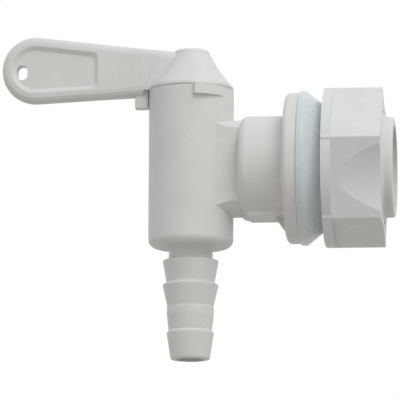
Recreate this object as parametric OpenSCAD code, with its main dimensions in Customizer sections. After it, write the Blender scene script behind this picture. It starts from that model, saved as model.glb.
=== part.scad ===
// Bucket spigot: a quarter turn lever tap for a round hole low in the wall of a bucket.
// The flange stands outside the wall, the threaded shank goes in through the hole, and a
// bevelled gasket and a lock nut hold it. A stepped barb takes two sizes of hose.
// Millimetres. The origin is the centre of the flange's sealing face. +X runs along the
// shank, +Z is up, and the lever points along -X, where the tap is open.

/* [Barrel] */
// Distance from the flange's sealing face to the axis of the barrel
barrel_x = 24.4; // [23.5:0.1:32]
// Outside diameter of the barrel
barrel_d = 18.9; // [17.5:0.1:21]
// Wall of the barrel round the valve plug
barrel_wall = 2.05; // [1.6:0.05:2.6]
// Height of the barrel's rim above the axis of the shank
barrel_rise = 17.7; // [16.5:0.1:22]
// Depth of the barrel's closed end below the axis of the shank
barrel_drop = 17.6; // [15.5:0.1:22]
// Thickness of the barrel's floor
barrel_floor = 2.4; // [1.8:0.1:3]
// Rounding of the barrel's lower edge
barrel_edge = 1.8; // [0.8:0.1:2.4]

/* [Lever stops] */
// Height of the two stop ramps on the barrel
stop_h = 2.2; // [1.4:0.1:3]
// How far a stop ramp stands out of the barrel at its blunt end
stop_out = 1.2; // [0.8:0.05:1.6]
// Arc over which a stop ramp fades into the barrel
stop_fade = 62; // [40:1:70]
// Swing of the lever between its two stops
lever_swing = 90; // [60:1:90]

/* [Inlet tube and flange] */
// Outside diameter of the inlet tube
tube_d = 23.4; // [22:0.1:26]
// Length of the inlet tube behind the flange
tube_len = 10.2; // [9:0.1:11]
// Rounding of the tube's outer end
tube_edge = 1.8; // [0.6:0.1:2.4]
// Outside diameter of the flange
flange_d = 33.6; // [31:0.1:38]
// Thickness of the flange
flange_t = 3; // [2:0.1:4]
// Rounding of the flange's outer edge
flange_edge = 1.2; // [0.4:0.1:1.6]
// Width of the flat sided neck between barrel and tube
neck_w = 14.2; // [12.5:0.1:15.5]
// Height of the neck where it leaves the tube
neck_h = 21.6; // [18:0.1:22]
// How much higher the neck is where it meets the barrel
neck_flare = 2.6; // [1:0.1:3.4]
// Width of the flat under the tube
pad_w = 11; // [8:0.1:13]
// Depth of the flat under the tube, from the axis
pad_z = 11.2; // [10.6:0.1:11.4]
// Height of the small web between the flat and the flange
web_h = 3.4; // [2:0.1:4.5]
// Thickness of that web
web_t = 3; // [1.5:0.1:5]

/* [Shank and thread] */
// Reach of the shank beyond the flange's sealing face
shank_len = 21; // [20:0.1:30]
// Diameter of the shank's bore
inlet_d = 18.6; // [15:0.1:19]
// Outside diameter of the shank's thread
thread_d = 25; // [24.4:0.1:27]
// Depth of the thread
thread_depth = 1.1; // [0.6:0.05:1.2]
// Pitch of the thread
thread_pitch = 2.3; // [1.8:0.1:3]
// Diameter of the plain ring that leads into the thread
lead_d = 22.3; // [21:0.1:22.6]
// Length of the plain lead ring
lead_len = 2; // [1.2:0.1:3]
// Rounding of the shank's outer rim
lead_edge = 0.6; // [0.3:0.05:0.8]

/* [Hose barb] */
// Diameter over the two upper barbs, for the larger hose
barb_upper_d = 12.3; // [11.4:0.1:13.5]
// Diameter over the two lower barbs, for the smaller hose
barb_lower_d = 10.4; // [9.9:0.1:11]
// Diameter of the waist under the first barb
waist_upper_d = 10.7; // [9.6:0.1:11]
// Diameter of the waist under the third barb
waist_lower_d = 9.6; // [9:0.1:9.8]
// Diameter of the barb at its tip
tip_d = 8.8; // [8.2:0.1:9]
// Distance from one barb to the next
barb_pitch = 5.35; // [4.5:0.05:7]
// Distance from the barrel's closed end to the first barb
barb_neck = 3; // [2:0.1:6]
// Diameter of the neck above the first barb
barb_neck_d = 9.7; // [9:0.1:11]
// Diameter of the outlet bore
outlet_d = 6.1; // [4:0.1:6.6]

/* [Valve plug and cap] */
// Radial clearance of the valve plug in the barrel
plug_clear = 0.04; // [0.02:0.01:0.08]
// Wall of the hollow valve plug
plug_wall = 1.9; // [1.4:0.1:2.4]
// Diameter of the ports in the neck and the plug
port_d = 9; // [6:0.1:10]
// Gap between the cap and the barrel's rim
seam = 0.1; // [0.05:0.01:0.2]
// Height of the conical cap
cap_h = 9.2; // [8:0.1:11]
// Diameter of the cap's top
cap_top_d = 8.3; // [6:0.1:10]
// Height of the straight lip round the foot of the cap
cap_lip = 0.8; // [0.4:0.1:1.4]
// Height that the bead which holds the plug stands proud
bead = 0.35; // [0.2:0.05:0.5]

/* [Lever] */
// Distance from the barrel's axis to the centre of the lever's round end
lever_reach = 35; // [30:0.1:45]
// Radius of the lever's round end
lever_end_r = 7.6; // [6.8:0.1:9]
// Height of that centre above the barrel's rim
lever_end_z = 5.15; // [4:0.05:6]
// Half the thickness of the lever at its end
blade_half = 2.2; // [1.8:0.05:2.6]
// How much thicker each side of the lever is where it joins the cap
blade_flare = 1.5; // [0.6:0.05:2]
// Rounding round the rim of the lever
blade_edge = 1.9; // [1:0.05:2]
// Height of the lever's upper edge above the barrel's rim at the cap
blade_top = 8.75; // [8:0.05:9.2]
// Depth of the lever's lower edge below the barrel's rim at the stop lug
blade_low = 1.25; // [0.6:0.05:2]
// Depth of the two shallow panels in the sides of the lever
panel_deep = 0.7; // [0.3:0.05:1]
// Width of the rim left round the panels
panel_rim = 2.3; // [1.6:0.1:3.2]
// Distance from the barrel's axis to the inner end of the panels
panel_in = 20.8; // [16:0.1:24]
// Width of the oval hanging hole
hang_w = 2.4; // [1.6:0.1:3]
// Height of the oval hanging hole
hang_h = 3.4; // [2.4:0.1:4.4]
// Distance from the lever's tip to the middle of the hanging hole
hang_in = 4.6; // [4:0.1:6]
// How far the hanging hole lies below the middle of the round end
hang_drop = 0.6; // [0:0.1:1.5]
// Thickness of the stop lug under the lever
lug_t = 3; // [2:0.1:3.6]
// How far the stop lug reaches out along the lever
lug_len = 2.9; // [2:0.1:4]
// Depth of the stop lug below the barrel's rim
lug_drop = 3.8; // [2.6:0.1:5]
// Gap between the stop lug and what it swings past
lug_clear = 0.18; // [0.1:0.01:0.3]

/* [Gasket] */
// Outside diameter of the gasket
gasket_d = 34.4; // [31:0.1:38]
// Thickness of the gasket
gasket_t = 5.6; // [4.8:0.1:8]
// Length of the gasket's straight outer edge
gasket_edge = 1.5; // [0.8:0.1:2.5]
// Diameter of the gasket's narrow face
gasket_face_d = 27.8; // [27:0.1:29.5]
// Radial clearance of the gasket on the thread
gasket_clear = 0.1; // [0.05:0.01:0.2]

/* [Lock nut] */
// Length of the nut
nut_len = 13; // [10:0.1:13.2]
// Diameter across the nut's corners
nut_corners = 35.8; // [34:0.1:40]
// Diameter of the nut's round flange
nut_flange_d = 35.2; // [33:0.1:40]
// Thickness of the nut's round flange
nut_flange_t = 2.1; // [1.2:0.1:3.5]
// Turn of the nut about the shank
nut_turn = 12.6; // [0:0.1:59.9]
// Radius of the scoop in each flat
scoop_r = 21; // [18:0.5:30]
// Depth of the scoops at the nut's free end
scoop_deep = 1.4; // [0.6:0.05:1.6]
// Distance from the nut's round flange to where the scoops run out
scoop_start = 1.5; // [0.8:0.1:3]
// Radial clearance of the nut on the thread
nut_clear = 0.1; // [0.05:0.01:0.1]

/* [Hidden] */
warm_white = [0.90, 0.89, 0.87];
cool_white = [0.88, 0.89, 0.90];
pale_rubber = [0.82, 0.87, 0.89];
eps = 0.01;
fine = 96;
medium = 64;

barrel_r = barrel_d / 2;
seat_r = barrel_r - barrel_wall;
tube_end_x = -flange_t - tube_len;
floor_z = barrel_floor - barrel_drop;
groove_z = barrel_rise - 3.2;
bead_clear = 0.1;
first_barb_z = -barrel_drop - barb_neck;
barb_count = 4;
barb_end_z = first_barb_z - barb_count * barb_pitch - 0.6;
barb_land = [0.3, 0.3, 1.3, 0.3];
barb_crest = [barb_upper_d / 2, barb_upper_d / 2, barb_lower_d / 2, barb_lower_d / 2];
barb_waist = [waist_upper_d / 2, barb_lower_d / 2 - 0.08, waist_lower_d / 2, tip_d / 2];
barb_shoulder = 0.55;

lug_in_r = barrel_r + lug_clear;
lug_chamfer = 0.3;
stop_slant = 32;
cap_z = barrel_rise + seam;
cap_rim_r = barrel_r - 0.05;
lever_top = cap_z + cap_h;
end_z = barrel_rise + lever_end_z;

// Points of an arc about (x, y), from angle a to angle b
function arc(x, y, r, a, b, n) =
    [for (i = [0:n]) [x + r * cos(a + (b - a) * i / n), y + r * sin(a + (b - a) * i / n)]];

// Points of a shallow hollow curve from p to q, whose middle sags by s
function hollow(p, q, s, n) =
    [for (i = [0:n])
        let (t = i / n, d = q - p, l = norm(d), sag = 4 * s * t * (1 - t))
        p + d * t + sag * [-d[1], d[0]] / l];

module about_x(x = 0) {
    translate([x, 0, 0])
        rotate([0, 90, 0])
            children();
}

module about_barrel() {
    translate([-barrel_x, 0, 0])
        children();
}

// Outline of the barb, from its root inside the barrel's floor down to its rounded tip
function barb_points(i) =
    let (z = first_barb_z - i * barb_pitch)
    [[barb_crest[i], z], [barb_crest[i], z - barb_land[i]],
     [barb_waist[i], i < barb_count - 1 ? z - barb_pitch + barb_shoulder : barb_end_z + 0.5]];

module barb() {
    rounded = 0.5;
    profile = concat(
        [[0, floor_z - 1], [barb_neck_d / 2 + 0.6, floor_z - 1], [barb_neck_d / 2 + 0.6, -barrel_drop],
         [barb_neck_d / 2, -barrel_drop - 0.7], [barb_neck_d / 2, first_barb_z + barb_shoulder]],
        [for (i = [0:barb_count - 1]) each barb_points(i)],
        arc(tip_d / 2 - rounded, barb_end_z + rounded, rounded, -15, -90, 5),
        [[0, barb_end_z]]);
    rotate_extrude($fn = fine)
        polygon(profile);
}

module barrel() {
    profile = concat(
        [[0, barrel_rise], [barrel_r, barrel_rise]],
        arc(barrel_r - barrel_edge, barrel_edge - barrel_drop, barrel_edge, 0, -90, 8),
        [[0, -barrel_drop]]);
    rotate_extrude($fn = fine)
        polygon(profile);
}

// One ramp: a disc set off centre, so that it stands proud at its blunt end and fades out.
// The blunt end faces the lug, which comes to rest against it.
module stop_ramp() {
    off = stop_out / (1 - cos(stop_fade));
    ramp_r = barrel_r + stop_out - off;
    face_y = lug_t / 2 - lug_chamfer;
    difference() {
        translate([off, 0, barrel_rise - stop_h])
            cylinder(r = ramp_r, h = stop_h, $fn = fine);
        translate([barrel_r, face_y, barrel_rise - stop_h - 1])
            rotate([0, 0, stop_slant])
                translate([-3 * barrel_r, -4 * barrel_r, 0])
                    cube([6 * barrel_r, 4 * barrel_r, stop_h + 2]);
    }
}

// The neck is round about the shank's axis and cut flat at both sides. It grows a little
// higher towards the barrel along a hollow curve, which starts sunk in the barrel's wall.
module neck() {
    low = neck_h / 2;
    sunk = 0.7;
    x0 = -barrel_x;
    x1 = tube_end_x + tube_edge + 0.5;
    xb = -barrel_x + sqrt(pow(barrel_r, 2) - pow(neck_w / 2, 2)) - sunk;
    profile = concat(
        [[0, x0], [low + neck_flare / 2, x0]],
        hollow([low + neck_flare / 2, xb], [low, tube_end_x - 0.4], 0.35, 8),
        [[low, x1], [0, x1]]);
    intersection() {
        about_x()
            rotate_extrude($fn = fine)
                polygon(profile);
        translate([x0 - 1, -neck_w / 2, -barrel_r - low])
            cube([x1 - x0 + 2, neck_w, 2 * (barrel_r + low)]);
    }
}

module tube_and_flange() {
    tube_r = tube_d / 2;
    flange_r = flange_d / 2;
    profile = concat(
        [[0, 0], [flange_r, 0]],
        arc(flange_r - flange_edge, flange_edge - flange_t, flange_edge, 0, -90, 6),
        [[tube_r + 0.5, -flange_t], [tube_r, -flange_t - 0.5]],
        arc(tube_r - tube_edge, tube_end_x + tube_edge, tube_edge, 0, -90, 8),
        [[0, tube_end_x]]);
    about_x()
        rotate_extrude($fn = fine)
            polygon(profile);
}

// Flat under the tube, whose sharp lower corners stand out past the round of the tube
module tube_with_flat() {
    x0 = tube_end_x + tube_edge;
    difference() {
        union() {
            tube_and_flange();
            translate([x0, -pad_w / 2, -pad_z])
                cube([0.5 - flange_t - x0, pad_w, pad_z]);
        }
        translate([tube_end_x - 1, -tube_d, -pad_z - tube_d])
            cube([1 + tube_len, 2 * tube_d, tube_d]);
    }
}

// Small web that props the flange against the flat
module web() {
    back = -flange_t - web_h * 0.75;
    translate([0, web_t / 2, 0])
        rotate([90, 0, 0])
            linear_extrude(web_t)
                polygon([[0.5 - flange_t, 1 - pad_z], [0.5 - flange_t, -pad_z - web_h],
                         [-flange_t, -pad_z - web_h], [back, 0.1 - pad_z], [back, 1 - pad_z]]);
}

// Ridges of the thread and the plain lead ring, one turned profile about the shank
module shank() {
    root_r = thread_d / 2 - thread_depth;
    lead_r = lead_d / 2;
    thread_end = shank_len - lead_len;
    turns = floor((thread_end - gasket_t / 2) / thread_pitch);
    thread_start = thread_end - turns * thread_pitch;
    crest = thread_pitch * 0.16;
    flank = thread_pitch * 0.3;
    ridges = [for (i = [0:turns - 1])
        let (x = thread_start + i * thread_pitch)
        each [[root_r, x + thread_pitch - crest - 2 * flank], [thread_d / 2, x + thread_pitch - crest - flank],
              [thread_d / 2, x + thread_pitch - flank], [root_r, x + thread_pitch]]];
    profile = concat(
        [[0, -1], [thread_d / 2, -1], [thread_d / 2, thread_start - flank], [root_r, thread_start]],
        ridges,
        [[lead_r, thread_end + 0.15], [lead_r, shank_len - lead_edge]],
        arc(lead_r - lead_edge, shank_len - lead_edge, lead_edge, 15, 90, 5),
        [[0, shank_len]]);
    about_x()
        rotate_extrude($fn = fine)
            polygon(profile);
}

module tap_body() {
    inlet_end = tube_end_x + 2.4;
    color(warm_white)
        difference() {
            union() {
                about_barrel() {
                    barrel();
                    barb();
                    rotate([0, 0, 180 + lever_swing])
                        stop_ramp();
                    rotate([0, 0, 180])
                        mirror([0, 1, 0])
                            stop_ramp();
                }
                neck();
                tube_with_flat();
                web();
                shank();
            }
            // Seat of the valve plug, open at the rim, with the groove for its bead
            about_barrel() {
                translate([0, 0, floor_z])
                    cylinder(r = seat_r, h = barrel_rise - floor_z + 1, $fn = fine);
                translate([0, 0, groove_z])
                    plug_bead(bead + bead_clear, plug_clear);
                translate([0, 0, barb_end_z - 1])
                    cylinder(d = outlet_d, h = floor_z - barb_end_z + 2, $fn = medium);
            }
            // Way in: the shank's bore, then the port through the neck
            about_x(inlet_end)
                cylinder(d = inlet_d, h = shank_len - inlet_end + 1, $fn = fine);
            about_x(-barrel_x)
                cylinder(d = port_d, h = barrel_x + inlet_end + 1, $fn = medium);
        }
}

// Ring with a blunt wedge outline that stands out of the plug by the given height
module plug_bead(out, grow) {
    r = seat_r - plug_clear;
    rotate_extrude($fn = fine)
        polygon([[r - 1, -2 * out], [r + grow, -2 * out], [r + out, -0.4 * out],
                 [r + out, 0.4 * out], [r + grow, 2 * out], [r - 1, 2 * out]]);
}

module cap() {
    top_r = cap_top_d / 2;
    rounded = 1.1;
    lip_z = cap_z + cap_lip;
    profile = concat(
        [[0, cap_z - 1], [seat_r - plug_clear, cap_z - 1], [seat_r - plug_clear, cap_z],
         [cap_rim_r - 0.25, cap_z], [cap_rim_r, cap_z + 0.25]],
        hollow([cap_rim_r - 0.1, lip_z], [top_r, lever_top - rounded], 0.3, 10),
        arc(top_r - rounded, lever_top - rounded, rounded, 25, 90, 6),
        [[0, lever_top]]);
    rotate_extrude($fn = fine)
        polygon(profile);
}

// Side view of the lever. Its two edges are the tangents of the round end that meet the
// cap's top and the stop lug. Both faces of the blade share this outline.
blade_root = -2.5;
top_root = [blade_root, barrel_rise + blade_top];
low_root = [-lug_in_r - lug_len, barrel_rise - blade_low];
end_c = [-lever_reach, end_z];
top_gap = top_root - end_c;
low_gap = low_root - end_c;
top_turn = atan2(top_gap[1], top_gap[0]) + acos(lever_end_r / norm(top_gap));
low_turn = atan2(low_gap[1], low_gap[0]) - acos(lever_end_r / norm(low_gap));

// Height at x of an edge line that is set in by d. turn is the direction it faces.
function edge_z(turn, d, x) =
    end_c[1] + (lever_end_r - d - (x - end_c[0]) * cos(turn)) / sin(turn);

// Half thickness of the blade, which swells as it nears the cap, most of all low down
flare_from = -20;
flare_to = -6.5;
flare_fade = 0.55;
function swell(x, z) =
    let (t = max(0, min(1, (x - flare_from) / (flare_to - flare_from))),
         u = max(0, min(1, (z - low_root[1]) / (top_root[1] - low_root[1]))))
    blade_half + blade_flare * t * t * (1 - flare_fade * u);

// One edge of the outline, from the cap to the tip, set in by d
side_steps = 14;
end_steps = 12;
function half_outline(turn, tip, d, last) =
    let (x_end = end_c[0] + (lever_end_r - d) * cos(turn))
    concat(
        [for (i = [0:side_steps - 1])
            let (x = blade_root + (x_end - blade_root) * i / side_steps)
            [x, edge_z(turn, d, x)]],
        [for (i = [0:last])
            let (a = turn + (tip - turn) * i / end_steps)
            [end_c[0] + (lever_end_r - d) * cos(a), end_c[1] + (lever_end_r - d) * sin(a)]]);

function reverse(v) = [for (i = [len(v) - 1:-1:0]) v[i]];

// The blade is built of rings that run from one face over the rounded rim to the other
module blade() {
    rounds = 4;
    rings = [for (j = [-rounds:rounds])
        let (a = 90 * j / rounds, d = blade_edge * (1 - cos(a)))
        [for (p = concat(half_outline(top_turn, 180, d, end_steps),
                         reverse(half_outline(low_turn, -180, d, end_steps - 1))))
            [p[0], sign(j) * (swell(p[0], p[1]) - blade_edge) + blade_edge * sin(a), p[1]]]];
    tip = side_steps + end_steps;
    n = 2 * tip + 1;
    last = 2 * rounds * n;
    rim = [for (j = [0:2 * rounds - 1], i = [0:n - 1])
        let (k = (i + 1) % n)
        [j * n + i, j * n + k, (j + 1) * n + k, (j + 1) * n + i]];
    near_face = [for (i = [0:tip - 2]) [n - 1 - i, n - 2 - i, i + 1, i]];
    far_face = [for (i = [0:tip - 2]) [last + i, last + i + 1, last + n - 2 - i, last + n - 1 - i]];
    tips = [[tip + 1, tip, tip - 1], [last + tip - 1, last + tip, last + tip + 1]];
    polyhedron([for (r = rings) each r], concat(rim, near_face, far_face, tips), convexity = 6);
}

// Outline of a panel whose edge is set in by d from the outline of the lever
function panel_points(d) =
    let (corner = 1.4, x = -panel_in - (d - panel_rim) - corner)
    concat(
        arc(x, edge_z(top_turn, d + corner, x), corner, 0, top_turn, 4),
        arc(end_c[0], end_c[1], lever_end_r - d, top_turn, 360 + low_turn, 20),
        arc(x, edge_z(low_turn, d + corner, x), corner, low_turn, 0, 4));

// Cutter for the shallow panel in the near face. Its sides slope.
module panel() {
    run = 0.9;
    over = 0.3;
    hull() {
        translate([0, panel_deep - blade_half, 0])
            rotate([90, 0, 0])
                linear_extrude(eps)
                    polygon(panel_points(panel_rim + run));
        translate([0, -blade_half - over, 0])
            rotate([90, 0, 0])
                linear_extrude(eps)
                    polygon(panel_points(panel_rim - run * over / panel_deep));
    }
}

module hanging_hole() {
    straight = hang_h - hang_w;
    translate([hang_in - lever_reach - lever_end_r, 0, end_z - hang_drop])
        rotate([90, 0, 0])
            linear_extrude(6 * blade_half, center = true)
                union() {
                    square([hang_w, straight], center = true);
                    for (side = [-1, 1])
                        translate([0, side * straight / 2])
                            circle(d = hang_w, $fn = 32);
                }
}

// Lug under the lever. Its inner corners are cut back to lie flat against a stop ramp.
module stop_lug() {
    rounded = 0.5;
    h = lug_t / 2;
    out_x = lug_in_r + lug_len;
    run = lug_chamfer / tan(stop_slant);
    translate([0, 0, barrel_rise - lug_drop])
        rotate([0, 0, 180])
            difference() {
                linear_extrude(lug_drop + 1.2)
                    polygon(concat(
                        [[lug_in_r - 1, lug_chamfer - h], [lug_in_r, lug_chamfer - h], [lug_in_r + run, -h]],
                        arc(out_x - rounded, rounded - h, rounded, -90, 0, 4),
                        arc(out_x - rounded, h - rounded, rounded, 0, 90, 4),
                        [[lug_in_r + run, h], [lug_in_r, h - lug_chamfer], [lug_in_r - 1, h - lug_chamfer]]));
                translate([0, 0, -1])
                    cylinder(r = lug_in_r, h = lug_drop + seam + 1, $fn = fine);
            }
}

module lever_plug() {
    plug_r = seat_r - plug_clear;
    plug_end = floor_z + 0.3;
    core_r = plug_r - plug_wall;
    color(warm_white)
        about_barrel()
            difference() {
                union() {
                    cap();
                    difference() {
                        blade();
                        panel();
                        mirror([0, 1, 0])
                            panel();
                        hanging_hole();
                        cylinder(r = barrel_r + stop_out + lug_clear, h = cap_z, $fn = fine);
                    }
                    stop_lug();
                    translate([0, 0, plug_end])
                        cylinder(r = plug_r, h = cap_z - plug_end, $fn = fine);
                    translate([0, 0, groove_z])
                        plug_bead(bead, 0);
                }
                translate([0, 0, plug_end - 1])
                    cylinder(r = core_r, h = barrel_rise - plug_end, $fn = fine);
                rotate([0, 90, 0])
                    cylinder(d = port_d, h = barrel_r, $fn = medium);
            }
}

module gasket() {
    r = gasket_d / 2;
    rounded = 0.5;
    profile = concat(
        [[thread_d / 2 + gasket_clear, 0]],
        arc(r - rounded, rounded, rounded, -90, 0, 4),
        arc(r - rounded, gasket_edge - rounded * 0.4, rounded, 0, 45, 3),
        [[gasket_face_d / 2, gasket_t], [thread_d / 2 + gasket_clear, gasket_t]]);
    color(pale_rubber)
        about_x()
            rotate_extrude($fn = fine)
                polygon(profile);
}

// Hexagon with a scoop in each flat: the scoops are parts of a cylinder that leans in
// towards the nut's free end, so each one widens from a point to the full flat.
module scooped_hexagon() {
    hex_r = nut_corners / 2;
    scoop_len = nut_len - nut_flange_t - scoop_start;
    lean = atan(scoop_deep / scoop_len);
    rotate([0, 0, 90 - nut_turn])
        difference() {
            cylinder(r = hex_r, h = nut_len, $fn = 6);
            for (k = [0:5])
                rotate([0, 0, 30 + 60 * k])
                    translate([hex_r * cos(30), 0, nut_len - scoop_len])
                        rotate([0, -lean, 0])
                            translate([scoop_r, 0, -scoop_start])
                                cylinder(r = scoop_r, h = scoop_start + 2 * scoop_len, $fn = fine);
        }
}

module lock_nut() {
    bore_r = thread_d / 2 + nut_clear;
    color(cool_white)
        about_x(gasket_t)
            difference() {
                union() {
                    cylinder(d = nut_flange_d, h = nut_flange_t, $fn = fine);
                    scooped_hexagon();
                }
                translate([0, 0, -1])
                    cylinder(r = bore_r, h = nut_len + 2, $fn = fine);
            }
}

tap_body();
lever_plug();
gasket();
lock_nut();
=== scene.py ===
import math

import bmesh
import bpy
from mathutils import Matrix, Vector

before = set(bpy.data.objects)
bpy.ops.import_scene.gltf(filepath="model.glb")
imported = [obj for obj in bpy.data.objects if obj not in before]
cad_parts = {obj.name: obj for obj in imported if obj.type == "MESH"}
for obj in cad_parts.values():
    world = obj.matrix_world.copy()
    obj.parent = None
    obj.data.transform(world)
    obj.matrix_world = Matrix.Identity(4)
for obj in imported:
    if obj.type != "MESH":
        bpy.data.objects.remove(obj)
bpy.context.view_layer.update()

MM = 0.001

# The photograph's frame, and where the model's origin lies in it
PHOTO_PIXELS = 400
ORIGIN_PIXEL = (300.5, 168.5)
MM_PER_PIXEL = 0.222
AZIMUTH = 5.7
ELEVATION = -9.5
ROLL = 0.3
DISTANCE = 1.0

FLOOR_Z = -0.4


def axis_vectors(azimuth, elevation):
    """Right, up and back of a camera that looks at the object from those angles in degrees."""
    a, e = math.radians(azimuth), math.radians(elevation)
    back = Vector((math.sin(a) * math.cos(e), -math.cos(a) * math.cos(e), math.sin(e)))
    right = Vector((math.cos(a), math.sin(a), 0))
    return right, back.cross(right), back


def make_camera():
    right, up, back = axis_vectors(AZIMUTH, ELEVATION)
    turn = Matrix.Rotation(math.radians(ROLL), 3, back)
    right, up = turn @ right, turn @ up
    middle = PHOTO_PIXELS / 2
    across = (middle - ORIGIN_PIXEL[0]) * MM_PER_PIXEL * MM
    above = (ORIGIN_PIXEL[1] - middle) * MM_PER_PIXEL * MM
    aim = right * across + up * above
    data = bpy.data.cameras.new("camera")
    data.lens = data.sensor_width * DISTANCE / (PHOTO_PIXELS * MM_PER_PIXEL * MM)
    data.clip_start, data.clip_end = 0.05, 20
    camera = bpy.data.objects.new("camera", data)
    bpy.context.scene.collection.objects.link(camera)
    camera.matrix_world = Matrix.LocRotScale(
        aim + back * DISTANCE, Matrix((right, up, back)).transposed().to_quaternion(), None)
    bpy.context.scene.camera = camera


def make_lamp(name, direction, distance, size, power, colour):
    """A square area lamp that faces the object from that direction."""
    data = bpy.data.lights.new(name, "AREA")
    data.shape, data.size = "SQUARE", size
    data.energy, data.color = power, colour
    lamp = bpy.data.objects.new(name, data)
    bpy.context.scene.collection.objects.link(lamp)
    towards = Vector(direction).normalized()
    lamp.location = towards * distance
    lamp.rotation_mode = "QUATERNION"
    lamp.rotation_quaternion = towards.to_track_quat("Z", "Y")


def seen_rays(nodes, links):
    """1 for a ray that the camera, a reflection or a clear material sends, 0 for light."""
    path = nodes.new("ShaderNodeLightPath")
    total = path.outputs["Is Camera Ray"]
    for kind in ("Is Glossy Ray", "Is Transmission Ray"):
        either = nodes.new("ShaderNodeMath")
        either.operation = "MAXIMUM"
        links.new(total, either.inputs[0])
        links.new(path.outputs[kind], either.inputs[1])
        total = either.outputs[0]
    return total


def make_world():
    world = bpy.data.worlds.new("studio")
    bpy.context.scene.world = world
    world.use_nodes = True
    nodes, links = world.node_tree.nodes, world.node_tree.links
    nodes.clear()
    out = nodes.new("ShaderNodeOutputWorld")
    mix = nodes.new("ShaderNodeMixShader")
    light = nodes.new("ShaderNodeBackground")
    light.inputs["Color"].default_value = (0.93, 0.97, 1.0, 1)
    light.inputs["Strength"].default_value = 0.62
    seen = nodes.new("ShaderNodeBackground")
    seen.inputs["Color"].default_value = (1, 1, 1, 1)
    seen.inputs["Strength"].default_value = 1
    links.new(seen_rays(nodes, links), mix.inputs[0])
    links.new(light.outputs[0], mix.inputs[1])
    links.new(seen.outputs[0], mix.inputs[2])
    links.new(mix.outputs[0], out.inputs["Surface"])


def make_floor():
    mesh = bpy.data.meshes.new("floor")
    half = 6.0
    mesh.from_pydata([(-half, -half, FLOOR_Z), (half, -half, FLOOR_Z), (half, half, FLOOR_Z),
                      (-half, half, FLOOR_Z)], [], [(0, 1, 2, 3)])
    floor = bpy.data.objects.new("floor", mesh)
    bpy.context.scene.collection.objects.link(floor)
    material = bpy.data.materials.new("floor")
    material.use_nodes = True
    nodes, links = material.node_tree.nodes, material.node_tree.links
    nodes.clear()
    out = nodes.new("ShaderNodeOutputMaterial")
    mix = nodes.new("ShaderNodeMixShader")
    share = nodes.new("ShaderNodeMath")
    share.operation = "MULTIPLY"
    share.inputs[1].default_value = 0.6
    matt = nodes.new("ShaderNodeBsdfDiffuse")
    matt.inputs["Color"].default_value = (0.60, 0.57, 0.53, 1)
    glow = nodes.new("ShaderNodeEmission")
    glow.inputs["Color"].default_value = (1, 1, 1, 1)
    glow.inputs["Strength"].default_value = 1
    links.new(seen_rays(nodes, links), share.inputs[0])
    links.new(share.outputs[0], mix.inputs[0])
    links.new(matt.outputs[0], mix.inputs[1])
    links.new(glow.outputs[0], mix.inputs[2])
    links.new(mix.outputs[0], out.inputs["Surface"])
    mesh.materials.append(material)


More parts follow.
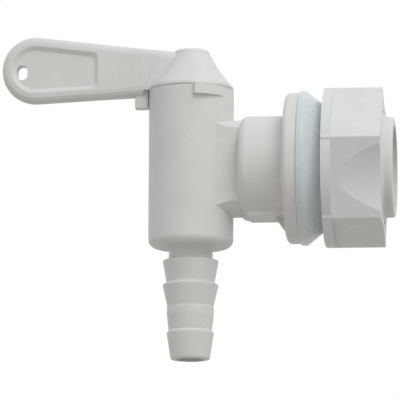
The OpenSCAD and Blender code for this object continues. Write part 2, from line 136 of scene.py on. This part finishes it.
def moulded(name, colour, roughness, speck=0.5, grain=0.03, bump=0.02):
    """Moulded plastic: fine grain, faint clouds, small dark specks and a matt skin."""
    material = bpy.data.materials.new(name)
    material.use_nodes = True
    nodes, links = material.node_tree.nodes, material.node_tree.links
    shader = nodes["Principled BSDF"]
    place = nodes.new("ShaderNodeTexCoord").outputs["Object"]

    def noise(scale, detail=2.0):
        node = nodes.new("ShaderNodeTexNoise")
        node.inputs["Scale"].default_value = scale
        node.inputs["Detail"].default_value = detail
        links.new(place, node.inputs["Vector"])
        return node.outputs["Fac"]

    def span(value, low, high, to_low, to_high):
        node = nodes.new("ShaderNodeMapRange")
        for socket, number in zip(("From Min", "From Max", "To Min", "To Max"),
                                  (low, high, to_low, to_high)):
            node.inputs[socket].default_value = number
        links.new(value, node.inputs["Value"])
        return node.outputs["Result"]

    def mix(factor, a, b, kind="MIX"):
        node = nodes.new("ShaderNodeMix")
        node.data_type, node.blend_type = "RGBA", kind
        for socket, value in (("Factor_Float", factor), ("A_Color", a), ("B_Color", b)):
            target = next(s for s in node.inputs if s.identifier == socket)
            if isinstance(value, bpy.types.NodeSocket):
                links.new(value, target)
            else:
                target.default_value = value
        return next(s for s in node.outputs if s.identifier == "Result_Color")

    base = (*colour, 1)
    cloud = tuple(c * 0.95 for c in colour) + (1,)
    shade = mix(span(noise(140), 0.35, 0.65, 0, 1), base, cloud)
    dark = tuple(c * (1 - grain * 2) for c in colour) + (1,)
    shade = mix(span(noise(2600, 3.0), 0.35, 0.7, 0, 0.8), shade, dark)
    # Specks: the hearts of a few cells of a scattered pattern
    cells = nodes.new("ShaderNodeTexVoronoi")
    cells.inputs["Scale"].default_value = 330
    links.new(place, cells.inputs["Vector"])
    heart = span(cells.outputs["Distance"], 0.02, 0.045, 1, 0)
    split = nodes.new("ShaderNodeSeparateColor")
    links.new(cells.outputs["Color"], split.inputs["Color"])
    chosen = span(split.outputs["Red"], 0.80, 0.82, 0, speck)
    amount = nodes.new("ShaderNodeMath")
    amount.operation = "MULTIPLY"
    links.new(heart, amount.inputs[0])
    links.new(chosen, amount.inputs[1])
    shade = mix(amount.outputs[0], shade, (0.30, 0.25, 0.20, 1))
    links.new(shade, shader.inputs["Base Color"])

    links.new(span(noise(300), 0.3, 0.7, roughness - 0.05, roughness + 0.06),
              shader.inputs["Roughness"])
    skin = nodes.new("ShaderNodeBump")
    skin.inputs["Strength"].default_value = 0.35
    skin.inputs["Distance"].default_value = bump * MM
    links.new(noise(2200, 3.0), skin.inputs["Height"])
    links.new(skin.outputs["Normal"], shader.inputs["Normal"])
    return material


def dress(node, material):
    node_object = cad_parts[node]
    node_object.data.materials.clear()
    node_object.data.materials.append(material)


bpy.context.scene.view_settings.view_transform = "Standard"
make_camera()
make_world()
make_floor()
make_lamp("key", (0.55, -0.75, 0.9), 0.9, 0.55, 3.2, (1.0, 0.985, 0.96))
dress("tap_body", moulded("body_plastic", (0.80, 0.785, 0.765), 0.48))
dress("lever_plug", moulded("lever_plastic", (0.80, 0.79, 0.77), 0.45))
dress("lock_nut", moulded("nut_plastic", (0.80, 0.80, 0.80), 0.45))
dress("gasket", moulded("gasket_rubber", (0.70, 0.76, 0.78), 0.25))
